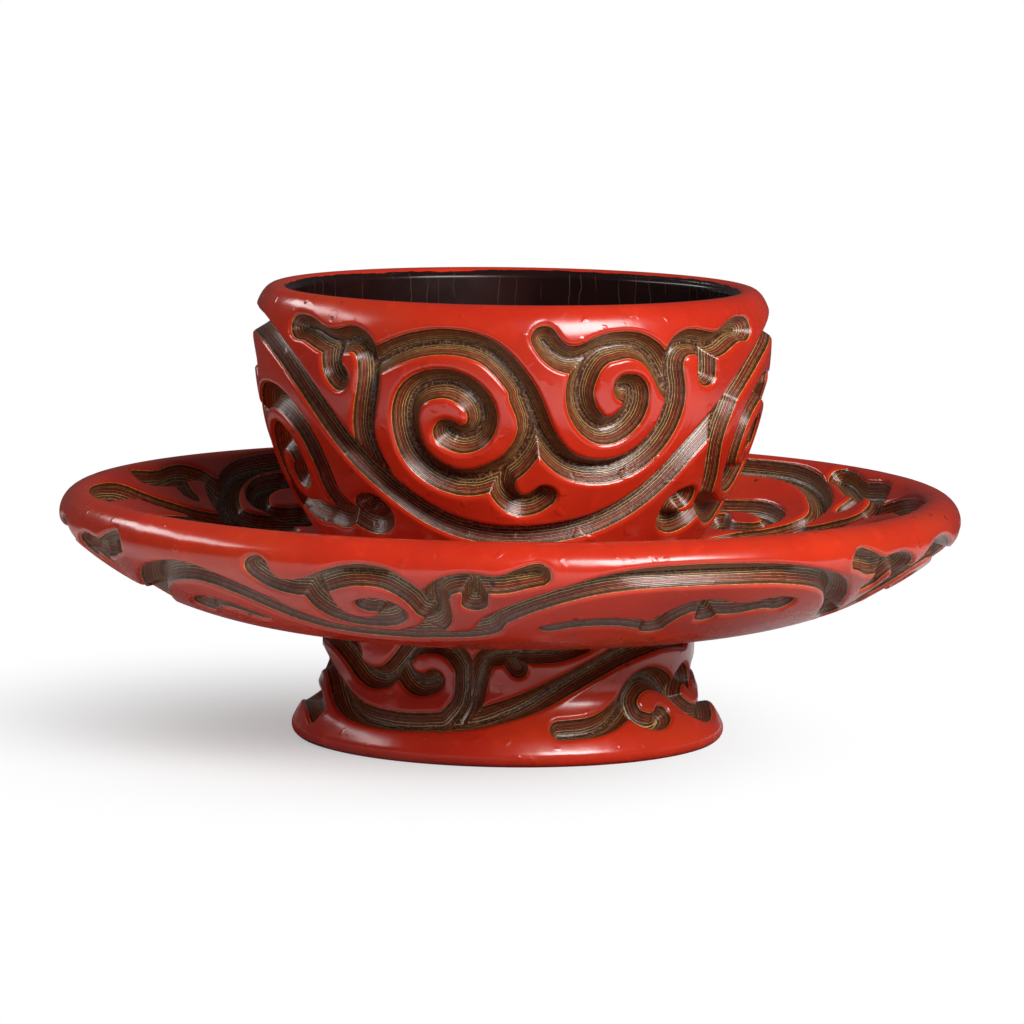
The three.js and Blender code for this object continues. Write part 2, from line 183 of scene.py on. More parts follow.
def dish_inside():
    rim = arc((RIM_RADIUS, RIM_HEIGHT), RIM_HALF, RIM_HALF, 90, RIM_SLOPE + 90, 20)
    return Turned(np.vstack([rim[:-1], dish_lines()[0], [[CUP_BASE_RADIUS - 2, DISH_TOP]]]), side=-1)


def foot_outside():
    neck, widest = (FOOT_NECK_RADIUS, DISH_UNDER), (FOOT_RADIUS, FOOT_TOE_HEIGHT)
    waist = [(FOOT_WAIST_RADIUS, 16.65), (FOOT_WAIST_RADIUS, FOOT_WAIST_HEIGHT)]
    side = spline([neck, *waist, (35.6, 8.3), (38.2, 5.1), widest], 0.3)
    toe = spline([widest, (39.75, 1.5), (39.4, 0.6), (38.85, 0.12)], 0.2)
    return Turned(np.vstack([side, toe]))


# The carving. A stroke is half the width of its cut and the points that its middle runs through.
CUP_WAVE = (2.3, [
    (-98, 8.8), (-90, 8), (-82, 8), (-74, 8.5), (-67, 10), (-60, 12.7), (-53, 17), (-45, 23.8), (-38, 30.1),
    (-30, 35.7), (-22, 40.4), (-14, 43.3), (-5, 44.8), (5, 45), (14, 44.1), (23, 42.2), (31, 38.9),
    (38, 34.4), (45, 28.5), (53, 22.5), (60, 17.4), (67, 13.4), (74, 10.6), (81, 9), (90, 8), (98, 8),
])
CUP_ARMS = [
    (2.4, [(-54.5, 7.2), (-51, 7.4), (-47, 8.6), (-43, 9.2), (-40, 8.9), (-37, 8.4), (-34.3, 9.3),
           (-32.7, 11.8), (-32.6, 15), (-33.4, 18.5), (-34.5, 22), (-35, 26), (-34, 29.5), (-32.3, 32.8)]),
    (2.5, [(-42, 9.6), (-42.8, 12), (-42.5, 14.2), (-41, 15.5)]),
    (2.4, [(37, 23.2), (38.4, 19.5), (38.2, 16.3), (37.4, 13.5), (37.6, 11), (39.5, 9), (43, 8.4),
           (47, 9), (51, 9.2), (55, 8), (59.5, 6.9), (62.6, 7)]),
    (2.5, [(46.8, 9.5), (47.4, 12), (47.6, 14.2)]),
    (2.5, [(6.9, 7.2), (8.8, 9.4), (12, 10.8), (15.5, 10.6), (19, 9.3), (23, 8.5), (27, 8.5), (31, 9.9),
           (34, 12.6), (36.6, 16)]),
]
CUP_LOW_ARMS = [
    (2.4, [(-40.2, 13.5), (-42.3, 13.2), (-44.3, 11.7), (-44.6, 9.8), (-42, 8.2), (-37, 7.9),
           (-32.8, 9.4), (-31, 12.4), (-31.6, 15.5), (-33.2, 19), (-34.5, 22), (-35, 26), (-34, 29.5),
           (-32.3, 32.8)]),
    (2.4, [(37, 23.2), (38.6, 19.5), (38.9, 16.3), (39.6, 13.4), (41.3, 11.3), (43.6, 9.6), (46.5, 8.2),
           (49.5, 7.5), (52.5, 7.8), (54.6, 9.3), (54.3, 11.2), (52.2, 12), (50, 11.6)]),
    (2.5, [(6.9, 7.2), (8.8, 9.4), (12, 10.8), (15.5, 10.6), (19, 9.3), (23, 8.5), (27.5, 8.3),
           (32, 8.6), (36, 8), (40, 8.5), (42.8, 10.1)]),
]
CUP_WHORLS = [
    (2.4, [(-32.5, 13), (-29.5, 11.6), (-25, 9.8), (-20, 8.5), (-15, 8), (-10, 8.3), (-5, 9.8),
           (-1.5, 12.3), (1.7, 15.6), (4.3, 19.7), (6.2, 23.5), (8.6, 26.8), (12, 29.6), (16, 31.1),
           (20, 31.6), (25, 31.3), (30, 29.6), (34, 26.9), (37, 23.2), (38.4, 19.5)]),
    (2.7, [(2.6, 17.5), (4.2, 20.8), (4.6, 24), (3, 27.6), (0.2, 30.4), (-4, 32.5), (-8, 33.7),
           (-12, 33.9), (-16, 33), (-20, 31), (-22.8, 28), (-24, 24), (-23.6, 20), (-21.6, 17.3),
           (-18, 15.8), (-13.5, 15.6), (-9.5, 17), (-6.8, 19.8), (-6.5, 22.6), (-8.5, 24.9),
           (-11.5, 25.5), (-14.3, 24.5)]),
    (2.3, [(-1.5, 32.3), (-2, 35), (0, 37.4), (3, 38.4), (6, 37.8), (8.2, 36.5)]),
    (2.6, [(23, 8.6), (20, 9.2), (17.4, 10.9), (15.6, 13.6), (14.8, 16.5), (15.4, 19.5), (17.5, 22.2),
           (20.7, 23.8), (24, 23.4), (27, 21.3), (28.2, 18.5), (27.4, 16.4), (25.6, 16.2)]),
]
UNDER_MOTIF = [
    (2.6, [(-18, 9), (-17.3, 11.5), (-15.3, 13.6), (-12.8, 13.6), (-10.3, 12.3), (-8, 10.6),
           (-5.5, 9.4), (-3, 9.2), (-0.5, 10.3), (1.2, 12.6), (2.6, 16), (3.4, 20)]),
    (2.5, [(-10.8, 12.8), (-11.3, 16), (-11.3, 19.5), (-10.5, 22.8), (-8.7, 24.9), (-6, 25.4),
           (-3.5, 24.5), (-1.9, 21.8), (-1.9, 19.2), (-3.3, 17.8), (-4.7, 18.4)]),
    (2.4, [(0, 29.5), (2.8, 27), (4.2, 23), (4.6, 18.5), (4.8, 14.5), (5.7, 11.8), (7.5, 10.3),
           (9.5, 10), (11.5, 10.4), (13.5, 10.2), (15.3, 9), (17.3, 7.9)]),
    (2.3, [(9.7, 10.8), (9.8, 13.5), (9.6, 16.4)]),
]
UNDER_WIDE_WAVE = [
    (2.4, [(-39, 31.5), (-31, 29.8), (-28, 27), (-27.3, 24), (-25.8, 21), (-23.5, 18), (-21, 15.4),
           (-18, 12.9), (-15, 11), (-11, 9.5), (-7, 8.8), (-3, 8.6), (1, 8.6), (5, 8.9), (10, 9.5),
           (14, 10.6), (18, 12.2), (21, 14.2), (24, 17.3), (26.5, 20.5), (29, 24), (32, 27.5), (36, 30),
           (41, 31.5)]),
    (2.4, [(-3.5, 27), (-3, 23.5), (-1.7, 20), (0.3, 18), (3, 18.5), (6, 19.8), (9, 19.7), (12, 18.7),
           (14.8, 19.5)]),
    (2.0, [(2.5, 19.5), (3.3, 22.5)]),
    (2.0, [(-19, 25.8), (-16, 24), (-12, 23.2), (-8, 23.8), (-4.5, 25.8)]),
]
UNDER_NARROW_WAVE = [
    (2.9, [(-31, 29), (-24, 27), (-18, 23), (-14, 19.6), (-10, 16.2), (-6, 13.8), (-2, 12.5),
           (1.5, 12.7), (4.5, 14.5), (7, 17), (9.5, 20.5), (12, 24.5), (15, 28.5), (20, 31), (30, 31.5)]),
    (2.3, [(-9, 27.5), (-6, 24.8), (-2, 23.3), (1, 24.5), (3.5, 27.5)]),
]
INSIDE_MOTIF = [
    (2.3, [(-20.3, 8.5), (-18.3, 6.3), (-15.8, 5.3), (-12.8, 5.8), (-9.8, 6), (-6.8, 4.8), (-2.8, 3.4)]),
    (2.3, [(-13.3, 7), (-13.1, 9), (-13, 10.8)]),
    (2.4, [(-20.3, 8.5), (-21, 11), (-19.8, 14.5), (-16.8, 17.5), (-13.3, 20.5), (-9.8, 22.5)]),
    (2.4, [(-44.3, 4.8), (-38.3, 5.2), (-32.3, 5.8), (-27.3, 7.3), (-23.5, 10), (-21, 13), (-19.8, 17),
           (-22.8, 21.5), (-27.3, 24)]),
    (2.4, [(-36, 13.5), (-31, 14.5), (-28.3, 17.5), (-29.3, 20.5), (-32.3, 21.8), (-35.5, 20.5)]),
    (2.4, [(41, 4), (31, 3.6), (23, 3.8), (15.7, 4.3), (10.7, 4.2), (6.7, 4.7), (2.7, 6), (-1.3, 8.2),
           (-4.8, 10.8), (-7.5, 13.5), (-8.5, 16.5), (-8, 19.5), (-5.8, 23), (-2.8, 26), (0.2, 28.5),
           (1.5, 31)]),
    (2.3, [(28, 17.5), (20.7, 16.9), (13.7, 16.7), (7.7, 15.9), (2.7, 17), (-0.5, 19.5), (0.7, 22.5),
           (4.7, 24), (8.7, 24), (11.5, 21.5)]),
]
INSIDE_LONG_MOTIF = [
    (2.3, [(-2, 4), (-5.5, 5.2), (-9, 5.5), (-13, 4.9), (-16, 5.8), (-17.5, 8), (-17, 10.5),
           (-15.5, 12.5), (-14, 15), (-12, 18)]),
    (2.2, [(-10.8, 6.5), (-9.8, 9), (-9.3, 11)]),
    (2.5, [(-36, 4.2), (-32, 4.6), (-27.5, 5.4), (-23, 7.8), (-19.5, 10.8), (-16.5, 14.3), (-14.8, 18),
           (-16.5, 21.5), (-21, 23.8), (-27.5, 25.2), (-33, 25.5)]),
    (2.4, [(-32, 10), (-27.5, 11), (-23.8, 14.3), (-22.4, 18.3), (-24.7, 20.7), (-29.3, 21.3)]),
    (2.4, [(36, 3.2), (29, 3.2), (19, 3.8), (12, 5), (6, 7), (3.2, 9.7), (0.8, 12.2), (-1.8, 14.6),
           (-4.2, 17), (-7.2, 19), (-10.2, 20.8), (-17.2, 23.6), (-24, 26)]),
    (2.0, [(14, 14.8), (8, 15.9), (2.5, 17.6), (-2.5, 19.8), (-8, 22.3), (-15.6, 24.9)]),
    (2.0, [(7.5, 18.8), (2.7, 20.5), (-1, 22.4), (-4, 24.5), (-8, 26), (-13, 27), (-19, 28.2)]),
]
INSIDE_FILLER = [
    (2.4, [(-18, 25), (-15, 20.5), (-11.5, 15.5), (-7.5, 11), (-3, 8.2), (2, 7.4), (7, 8.8), (11, 12),
           (13.8, 16.5), (14.2, 21.5), (12, 26), (7.8, 28.2), (3.2, 27.2), (0.8, 23.5), (2, 19.5),
           (5.8, 18), (8.2, 20.5)]),
    (2.3, [(-12.5, 17), (-8.5, 19), (-6, 22.5), (-6.2, 26.8), (-9.5, 29.5), (-13.5, 29)]),
]
INSIDE_HOOK = [
    (2.2, [(-17, 38), (-12, 35), (-6, 33.6), (0, 34.2), (5, 37), (6.5, 40.8), (3.5, 43.8), (-1.5, 43.6),
           (-3.8, 40.8)]),
]
FOOT_WAVE = (2.0, [
    (-98, 9.3), (-90, 8.3), (-83, 7.8), (-75, 8.8), (-67, 10.8), (-58, 13.1), (-49, 14.7), (-39, 15.4),
    (-29, 15.4), (-19, 14.8), (-10, 14), (-3, 12.8), (5, 11.2), (13, 9.2), (21, 7), (29, 4.8), (36, 3.1),
    (43, 2), (51, 1.2), (60, 1.1), (70, 1.7),
])
FOOT_MOTIF = [
    (2.0, [(-85, 2.3), (-75, 2.3), (-68, 2.8), (-62, 4), (-57, 5.6), (-52, 7.4), (-48, 8.1), (-44, 8.2),
           (-40, 7.5), (-36.5, 5.8), (-33.5, 3.8), (-31, 2), (-27.5, 1), (-23.5, 0.7), (-19, 1.2),
           (-15.5, 2.8), (-13.2, 5.2), (-13, 8), (-13.7, 11), (-16, 13), (-19, 15)]),
    (1.9, [(-62, 0), (-58, 2), (-54, 4.5)]),
    (2.1, [(-34, 5.6), (-32, 7.3), (-29, 8.3), (-26, 8.3), (-23, 7.6)]),
    (2.0, [(-13, 13.5), (-10.5, 10.5), (-9.3, 7.5), (-8.3, 5), (-6.3, 3), (-3, 2.3), (1, 2), (6, 1.9),
           (12, 1.9), (17, 1.5), (21, 0.8), (23.5, 0.3)]),
    (1.8, [(1, 2.3), (2, 4), (3.2, 4.8)]),
    (2.1, [(15, 16.2), (19, 16.1), (24, 15.8), (29, 15), (34, 13.5), (37.5, 12.2), (41, 9.8), (45, 8.3),
           (50, 8), (55, 8.8), (59.5, 10.5), (63, 13), (67, 15.2), (72, 16.4), (78, 16.4), (84, 15.5),
           (90, 15), (96, 15), (102, 15.3), (108, 16.2), (112.5, 17.2)]),
    (1.9, [(39.5, 11.5), (40.5, 14), (44, 15.5), (48, 15.8), (51.5, 14.8)]),
    (1.9, [(62, 11.5), (66, 9.5), (71, 8.6), (74.5, 9.8)]),
]


def moved(strokes, by, flip=1):
    """The strokes turned by an angle, and before that mirrored about angle 0 if flip is -1."""
    return [(half, [(a * flip + by, run) for a, run in points]) for half, points in strokes]


def overturned(strokes, by):
    """The motif upside down between the crests of the cup's wave."""
    top, bottom, share = 8, 45, 0.96
    return [(half, [(a + by, top + (bottom - run) * share) for a, run in points]) for half, points in strokes]


def cup_strokes():
    upright, low = CUP_ARMS + CUP_WHORLS, CUP_LOW_ARMS + CUP_WHORLS
    half_turn = [CUP_WAVE, *upright, *overturned(low, 90)]
    return half_turn + moved(half_turn, 180)


def underside_strokes():
    motifs = [(-14, 1), (65.5, -1), (126.5, 1), (206, -1), (-75, 1)]
    strokes = [s for by, flip in motifs for s in moved(UNDER_MOTIF, by, flip)]
    strokes += [s for by in (25, 166, 245) for s in moved(UNDER_WIDE_WAVE, by)]
    return strokes + [s for by in (-44, 96.5) for s in moved(UNDER_NARROW_WAVE, by)]


def inside_strokes():
    strokes = moved(INSIDE_MOTIF, 6) + moved(INSIDE_MOTIF, 126.3) + moved(INSIDE_LONG_MOTIF, 251)
    strokes += [s for by in (64.5, 193, 303) for s in moved(INSIDE_FILLER, by)]
    return strokes + [s for by in (-52, -21, 29, 60, 157, 184, 211) for s in moved(INSIDE_HOOK, by)]


def foot_strokes():
    half_turn = [FOOT_WAVE, *FOOT_MOTIF]
    return half_turn + moved(half_turn, 180)


# The section of a cut: a bowl with rounded shoulders. The red skin ends at its half width.
STEEPNESS = 1.33  # depth for each millimetre of half width
DEEPEST = 3.2
SKIN = 0.4  # thickness of the red skin over the first layer
BOWL = 1.3  # 1 is a straight wall, and more is steeper at the edge than at the bottom
BOTTOM_ROUND = 0.3
SHOULDER_ROUND = 0.6
SAMPLE_STEP = 0.15
SAMPLES_AT_ONCE = 24
SEARCH_MARGIN = 1.1  # over the angle that a cut's reach spans
BLEND = 0.3  # how far two cuts melt into each other, in depth
NO_DIVISION_BY_ZERO = 1e-9


def from_bottom(distance):
    return np.sqrt(distance**2 + BOTTOM_ROUND**2) - BOTTOM_ROUND


def wall_of(half):
    """The deepest depth of a cut and how far its wall rises up to the edge of the red skin."""
    deepest = min(half * STEEPNESS, DEEPEST)
    at_edge = 2 * math.sqrt(SKIN * SHOULDER_ROUND) - SHOULDER_ROUND
    return deepest, deepest - at_edge


def reach_of(half):
    """How far from its middle a cut's shoulders end."""
    deepest, rise = wall_of(half)
    share = ((deepest + SHOULDER_ROUND) / rise) ** (1 / BOWL)
    return math.sqrt((from_bottom(half) * share + BOTTOM_ROUND) ** 2 - BOTTOM_ROUND**2)


def section(distance, half):
    """Depth at a distance from the middle of a cut."""
    deepest, rise = wall_of(half)
    wall = deepest - (from_bottom(distance) / from_bottom(half)) ** BOWL * rise
    shoulder = np.maximum(SHOULDER_ROUND - np.abs(wall), 0)
    return np.maximum(wall, 0) + shoulder**2 / (4 * SHOULDER_ROUND)


def carve(surface, runs, columns, strokes):
    """How deep the strokes cut the surface at every run and column."""
    uncut = spun(*surface.at(runs[:, None]), turn_in(columns))
    depth = np.zeros((len(runs), columns))
    for half, points in strokes:
        reach = reach_of(half)
        mean_radius = surface.at(np.mean([run for _, run in points]))[0]
        path = spline(points, SAMPLE_STEP, np.array([math.radians(1) * mean_radius, 1]))
        pr, pz = surface.at(path[:, 1])
        middle = spun(pr, pz, path[:, 0])
        nearest = np.full(depth.shape, reach)
        for first in range(0, len(path), SAMPLES_AT_ONCE):
            part = slice(first, first + SAMPLES_AT_ONCE)
            wide = math.degrees(reach / pr[part].min()) * SEARCH_MARGIN
            low = math.floor((path[part, 0].min() - wide) * columns / 360)
            high = math.ceil((path[part, 0].max() + wide) * columns / 360)
            cols = np.arange(low, high + 1) % columns
            rows = np.flatnonzero((runs > path[part, 1].min() - reach) & (runs < path[part, 1].max() + reach))
            if not len(rows):
                continue
            spot = np.ix_(rows, cols)
            gap = np.linalg.norm(uncut[spot][:, :, None] - middle[part], axis=-1).min(-1)
            nearest[spot] = np.minimum(nearest[spot], gap)
        cut = section(nearest, half)
        blend = np.minimum(BLEND, np.minimum(cut, depth)) + NO_DIVISION_BY_ZERO
        near = np.maximum(blend - np.abs(cut - depth), 0) / blend
        depth = np.maximum(cut, depth) + near**2 * blend / 4
    return np.minimum(depth, DEEPEST)


def rows_between(*stops):
    """Runs from the first stop on: each later stop is (run, spacing)."""
    runs = [stops[0]]
    for end, spacing in stops[1:]:
        count = max(1, round((end - runs[-1]) / spacing))
        runs.extend(np.linspace(runs[-1], end, count + 1)[1:])
    return np.array(runs)


BAND_SHARE = 0.998  # of a band's height in the map, so that the bands stay apart
BACK_RUN = -9  # marks the back of a coat, which is black like a rubbed lip


def ring_mesh(name, rings, values, bands=1, creases=()):
    """A closed mesh from rings of points, the last of which joins the first. values are written on its
    points, and creases are the rings that stay sharp."""
    r, z = np.hypot(rings[:, 0, 0], rings[:, 0, 1]), rings[:, 0, 2]
    if (r * np.roll(z, -1) - z * np.roll(r, -1)).sum() > 0:
        rings, values = rings[::-1], {key: value[::-1] for key, value in values.items()}
        creases = [len(rings) - 1 - ring for ring in creases]
    count, columns = rings.shape[:2]
    row, col = np.meshgrid(np.arange(count), np.arange(columns), indexing="ij")
    below, right = (row + 1) % count, (col + 1) % columns
    here, under = row * columns, below * columns
    corners = np.stack([here + col, under + col, under + right, here + right], -1)
    mesh = bpy.data.meshes.new(name)
    mesh.vertices.add(count * columns)
    mesh.vertices.foreach_set("co", (rings * MM).astype(np.float32).ravel())
    mesh.loops.add(corners.size)
    mesh.loops.foreach_set("vertex_index", corners.astype(np.int32).ravel())
    mesh.polygons.add(count * columns)
    mesh.polygons.foreach_set("loop_start", np.arange(0, corners.size, 4, dtype=np.int32))
    mesh.update(calc_edges=True)
    for key, value in values.items():
        mesh.attributes.new(key, "FLOAT", "POINT").data.foreach_set("value", value.astype(np.float32).ravel())
    unroll(mesh, rings, bands)
    mesh.shade_smooth()
    ends = np.empty(len(mesh.edges) * 2, np.int32)
    mesh.edges.foreach_get("vertices", ends)
    ring = ends.reshape(-1, 2) // columns
    sharp = (ring[:, 0] == ring[:, 1]) & np.isin(ring[:, 0], list(creases))
    mesh.attributes.new("sharp_edge", "BOOLEAN", "EDGE").data.foreach_set("value", sharp)
    piece = bpy.data.objects.new(name, mesh)
    bpy.context.scene.collection.objects.link(piece)
    return piece


def unroll(mesh, rings, bands):
    """Lays the rings flat in a map of equal bands, each a share of the turn."""
    count, columns = rings.shape[:2]
    steps = np.linalg.norm(np.roll(rings, -1, 0) - rings, axis=-1).mean(1)
    down = np.concatenate([[0], np.cumsum(steps)]) / steps.sum()
    per_band = columns // bands
    row, col = np.meshgrid(np.arange(count), np.arange(columns), indexing="ij")
    band = col // per_band
    left = (col % per_band) / per_band
    right = left + 1 / per_band
    top, bottom = down[row], down[row + 1]
    corner_u = np.stack([left, left, right, right], -1)
    corner_v = (np.stack([top, bottom, bottom, top], -1) * BAND_SHARE + band[..., None]) / bands
    uv = np.stack([corner_u, corner_v], -1)
    mesh.uv_layers.new(name="OFBake").data.foreach_set("uv", uv.astype(np.float32).ravel())


def carved_piece(name, surface, runs, columns, strokes, inner, bands):
    """A coat of the turned surface with its strokes cut in, closed by the inner line of (radius, height)."""
    depth = carve(surface, runs, columns, strokes)
    r, z = surface.at(runs[:, None], depth)
    outer = spun(r, z, turn_in(columns))
    back = spun(*as_columns(inner), turn_in(columns))
    uncut = np.zeros(back.shape[:2])
    values = {
        "carving_depth": np.concatenate([depth, uncut]),
        "run": np.concatenate([np.broadcast_to(runs[:, None], depth.shape), uncut + BACK_RUN]),
    }
    return ring_mesh(name, np.concatenate([outer, back]), values, bands, (0, len(outer) - 1))


def turned_piece(name, outline, columns, bands=1):
    """A plain piece turned from a closed outline of (radius, height)."""
    return ring_mesh(name, spun(*as_columns(outline), turn_in(columns)), {}, bands)


def fit_in(piece, node, finish):
    """The piece stands for its CAD node, rides with it and gets its finish."""
    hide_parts(node)
    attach(piece, "root")
    piece.data.materials.append(finish)


class Finish:
    """A material, made node by node. A socket or a plain value may be given for every input."""

    def __init__(self, name):
        self.material = bpy.data.materials.new(name)
        self.material.use_nodes = True
        self.tree = self.material.node_tree
        self.shader = self.tree.nodes["Principled BSDF"]

    def put(self, socket, value):
        if isinstance(value, bpy.types.NodeSocket):
            self.tree.links.new(value, socket)
        elif socket.type == "RGBA":
            socket.default_value = (*value, 1)
        else:
            socket.default_value = value

    def node(self, kind, inputs=None, **settings):
        made = self.tree.nodes.new("ShaderNode" + kind)
        for key, value in settings.items():
            setattr(made, key, value)
        for key, value in (inputs or {}).items():
            self.put(made.inputs[key], value)
        return made

    def set(self, **inputs):
        for key, value in inputs.items():
            self.put(self.shader.inputs[key.replace("_", " ")], value)

    def place(self):
        return self.node("TexCoord").outputs["Object"]

    def turn(self, where):
        """The angle round the axis and the height of a place."""
        parts = self.node("SeparateXYZ", {"Vector": where}).outputs
        return self.math("ARCTAN2", parts["X"], parts["Y"]), parts["Z"]

    def value(self, name):
        return self.node("Attribute", attribute_name=name).outputs["Fac"]

    def math(self, operation, a, b=0.0, c=0.0, clamp=False):
        made = self.node("Math", {0: a, 1: b, 2: c}, operation=operation, use_clamp=clamp)
        return made.outputs[0]

    def noise(self, where, scale, detail=2.0, rough=0.5):
        made = self.node("TexNoise", {"Vector": where, "Scale": scale, "Detail": detail, "Roughness": rough})
        return made.outputs["Fac"]

    def fade(self, value, low, high, start=0.0, end=1.0):
        """start up to low, end from high on, and smooth between them."""
        inputs = {"Value": value, "From Min": low, "From Max": high, "To Min": start, "To Max": end}
        return self.node("MapRange", inputs, interpolation_type="SMOOTHSTEP").outputs["Result"]

    def mix(self, share, a, b, blend="MIX"):
        made = self.node("Mix", {0: share, 6: a, 7: b}, data_type="RGBA", blend_type=blend)
        return made.outputs[2]

    def steps(self, value, stops, interpolation="CONSTANT"):
        """A colour for each (start, colour) of the stops."""
        made = self.node("ValToRGB", {"Fac": value})
        ramp = made.color_ramp
        ramp.interpolation = interpolation
        for i, (start, colour) in enumerate(stops):
            stop = ramp.elements[i] if i < 2 else ramp.elements.new(start)
            stop.position = start
            stop.color = (*colour, 1)
        return made.outputs["Color"]

    def bump(self, height, distance, strength=1.0, under=None):
        """A fine relief, distance metres high, over the one under it."""
        inputs = {"Height": height, "Distance": distance, "Strength": strength}
        if under is not None:
            inputs["Normal"] = under
        return self.node("Bump", inputs).outputs["Normal"]


RED = (0.58, 0.028, 0.008)
DEEP_RED = (0.42, 0.018, 0.006)
WARM_RED = (0.50, 0.045, 0.009)
BRIGHT_RED = (0.70, 0.045, 0.012)
OCHRE = (0.54, 0.25, 0.05)
CREAM = (0.56, 0.36, 0.14)
UMBER = (0.12, 0.045, 0.015)
DARK = (0.042, 0.009, 0.004)
TAN = (0.47, 0.20, 0.07)
BROWN = (0.09, 0.020, 0.008)
INNER_RED = (0.27, 0.022, 0.011)
BLACK = (0.008, 0.003, 0.003)
CLOUDY_BLACK = (0.018, 0.004, 0.003)
FLECK = (0.34, 0.20, 0.08)
PIT_COLOUR = (0.05, 0.008, 0.005)
CRACK_COLOUR = (0.10, 0.035, 0.018)
WORN_DARK, WORN_LIGHT = (0.25, 0.24, 0.22), (1.7, 1.6, 1.5)
WOOD_DARK, WOOD_LIGHT = (0.24, 0.12, 0.05), (0.48, 0.29, 0.13)

# The layers from the surface down, with their thickness.
LAYERS = [
    (RED, SKIN), (OCHRE, 0.09), (BROWN, 0.20), (DARK, 0.10), (UMBER, 0.05), (DARK, 0.12), (TAN, 0.05),
    (DARK, 0.15), (TAN, 0.07), (DARK, 0.16), (INNER_RED, 0.10), (DARK, 0.14), (TAN, 0.07), (DARK, 0.14),
    (INNER_RED, 0.11), (DARK, 0.12), (CREAM, 0.07), (DARK, 0.12), (UMBER, 0.06), (DARK, 0.10), (CREAM, 0.08),
    (DARK, 0.14), (UMBER, 0.07), (DARK, 0.12), (CREAM, 0.06), (BROWN, 0.14), (DARK, 0.14), (UMBER, 0.06),
    (DARK, 0.3),
]
LAYER_DEPTH = 3.4  # at the end of the colour ramp
RIDGE_SPACING = 0.26  # between the fine ridges that the layers leave on a cut, in depth


def layer_stops():
    depth, stops = 0.0, []
    for colour, thickness in LAYERS:
        stops.append((depth / LAYER_DEPTH, colour))
        depth += thickness
    return stops


def layer_of(f, where, depth):
    """How far down the layers a depth lies, as a share of all of them. It wavers a little."""
    waver = f.math("SUBTRACT", f.noise(where, 420, 2), 0.5)
    uneven = f.math("MULTIPLY", waver, f.fade(depth, 0.3, 1.2, 0.05, 0.22))
    return f.math("DIVIDE", f.math("ADD", depth, uneven), LAYER_DEPTH, clamp=True)


def red_skin(f, where):
    """The uncut red in soft patches."""
    red = f.mix(f.fade(f.noise(where, 34, 4, 0.6), 0.3, 0.75), DEEP_RED, RED)
    red = f.mix(f.fade(f.noise(where, 22, 3), 0.48, 0.75, 0, 0.6), red, WARM_RED)
    return f.mix(f.fade(f.noise(where, 260, 3), 0.55, 0.8, 0, 0.35), red, BRIGHT_RED)


def cut_layers(f, where, depth, layer, grain):
    """The layers on the wall of a cut, with worn streaks and, low down, light flecks."""
    worn = f.steps(f.noise(where, 1100, 2, 0.6), [(0.2, WORN_DARK), (0.8, WORN_LIGHT)], "LINEAR")
    cut = f.mix(0.8, f.steps(layer, layer_stops()), worn, "MULTIPLY")
    flecks = f.math("MULTIPLY", f.fade(grain, 0.54, 0.64), f.fade(depth, 1.8, 2.8, 0, 0.6))
    return f.mix(flecks, cut, FLECK)


def pits(f, where):
    """1 in the small round pits, which come in patches."""
    pores = f.node("TexVoronoi", {"Vector": where, "Scale": 190.0}, feature="F1").outputs["Distance"]
    pitted = f.fade(f.noise(where, 45, 2), 0.52, 0.62)
    return f.math("MULTIPLY", f.fade(pores, 0.07, 0.13, 1, 0), pitted)


def rubbed_lip(f, where):
    """1 where the red is rubbed off the mouth's inner edge, along a ragged line."""
    ragged = f.math("MULTIPLY_ADD", f.noise(where, 240, 4, 0.6), 1.3, f.value("run"))
    ragged = f.math("MULTIPLY_ADD", f.noise(where, 28, 2), 2.0, ragged)
    return f.fade(ragged, -0.25, -0.15, 1, 0)


def carved_relief(f, where, layer, in_cut, grain, pit):
    """Dents, pimples and pits of the skin, and the scrapes and ridges on the wall of a cut."""
    dents = f.bump(f.noise(where, 150, 2, 0.4), 0.0004, 0.4)
    pimples = f.bump(f.fade(f.noise(where, 380, 1), 0.62, 0.76), 0.0001, 0.7, dents)
    pitted = f.bump(f.math("SUBTRACT", 1.0, pit), 0.0001, 0.6, pimples)
    scraped = f.bump(f.math("MULTIPLY", grain, in_cut), 0.00012, 0.3, pitted)
    ridges = f.math("PINGPONG", layer, RIDGE_SPACING / 2 / LAYER_DEPTH)
    return f.bump(f.math("MULTIPLY", ridges, in_cut), 0.0006, 0.8, scraped)


def carved_finish():
    f = Finish("carved_red_lacquer")
    where = f.place()
    depth = f.value("carving_depth")
    layer = layer_of(f, where, depth)
    in_cut = f.fade(depth, 0.36, 0.42)
    grain = f.noise(where, 2600, 1)
    pit = pits(f, where)
    colour = f.mix(in_cut, red_skin(f, where), cut_layers(f, where, depth, layer, grain))
    colour = f.mix(f.math("MULTIPLY", pit, 0.8), colour, PIT_COLOUR)
    colour = f.mix(rubbed_lip(f, where), colour, BLACK)
    relief = carved_relief(f, where, layer, in_cut, grain, pit)
    rough = f.fade(depth, 0.3, 1.0, 0.21, 0.31)
    rough = f.math("ADD", rough, f.fade(f.noise(where, 90, 3), 0.3, 0.8, -0.03, 0.06))
    f.set(Base_Color=colour, Roughness=rough, Normal=relief, IOR=1.6)
    return f.material


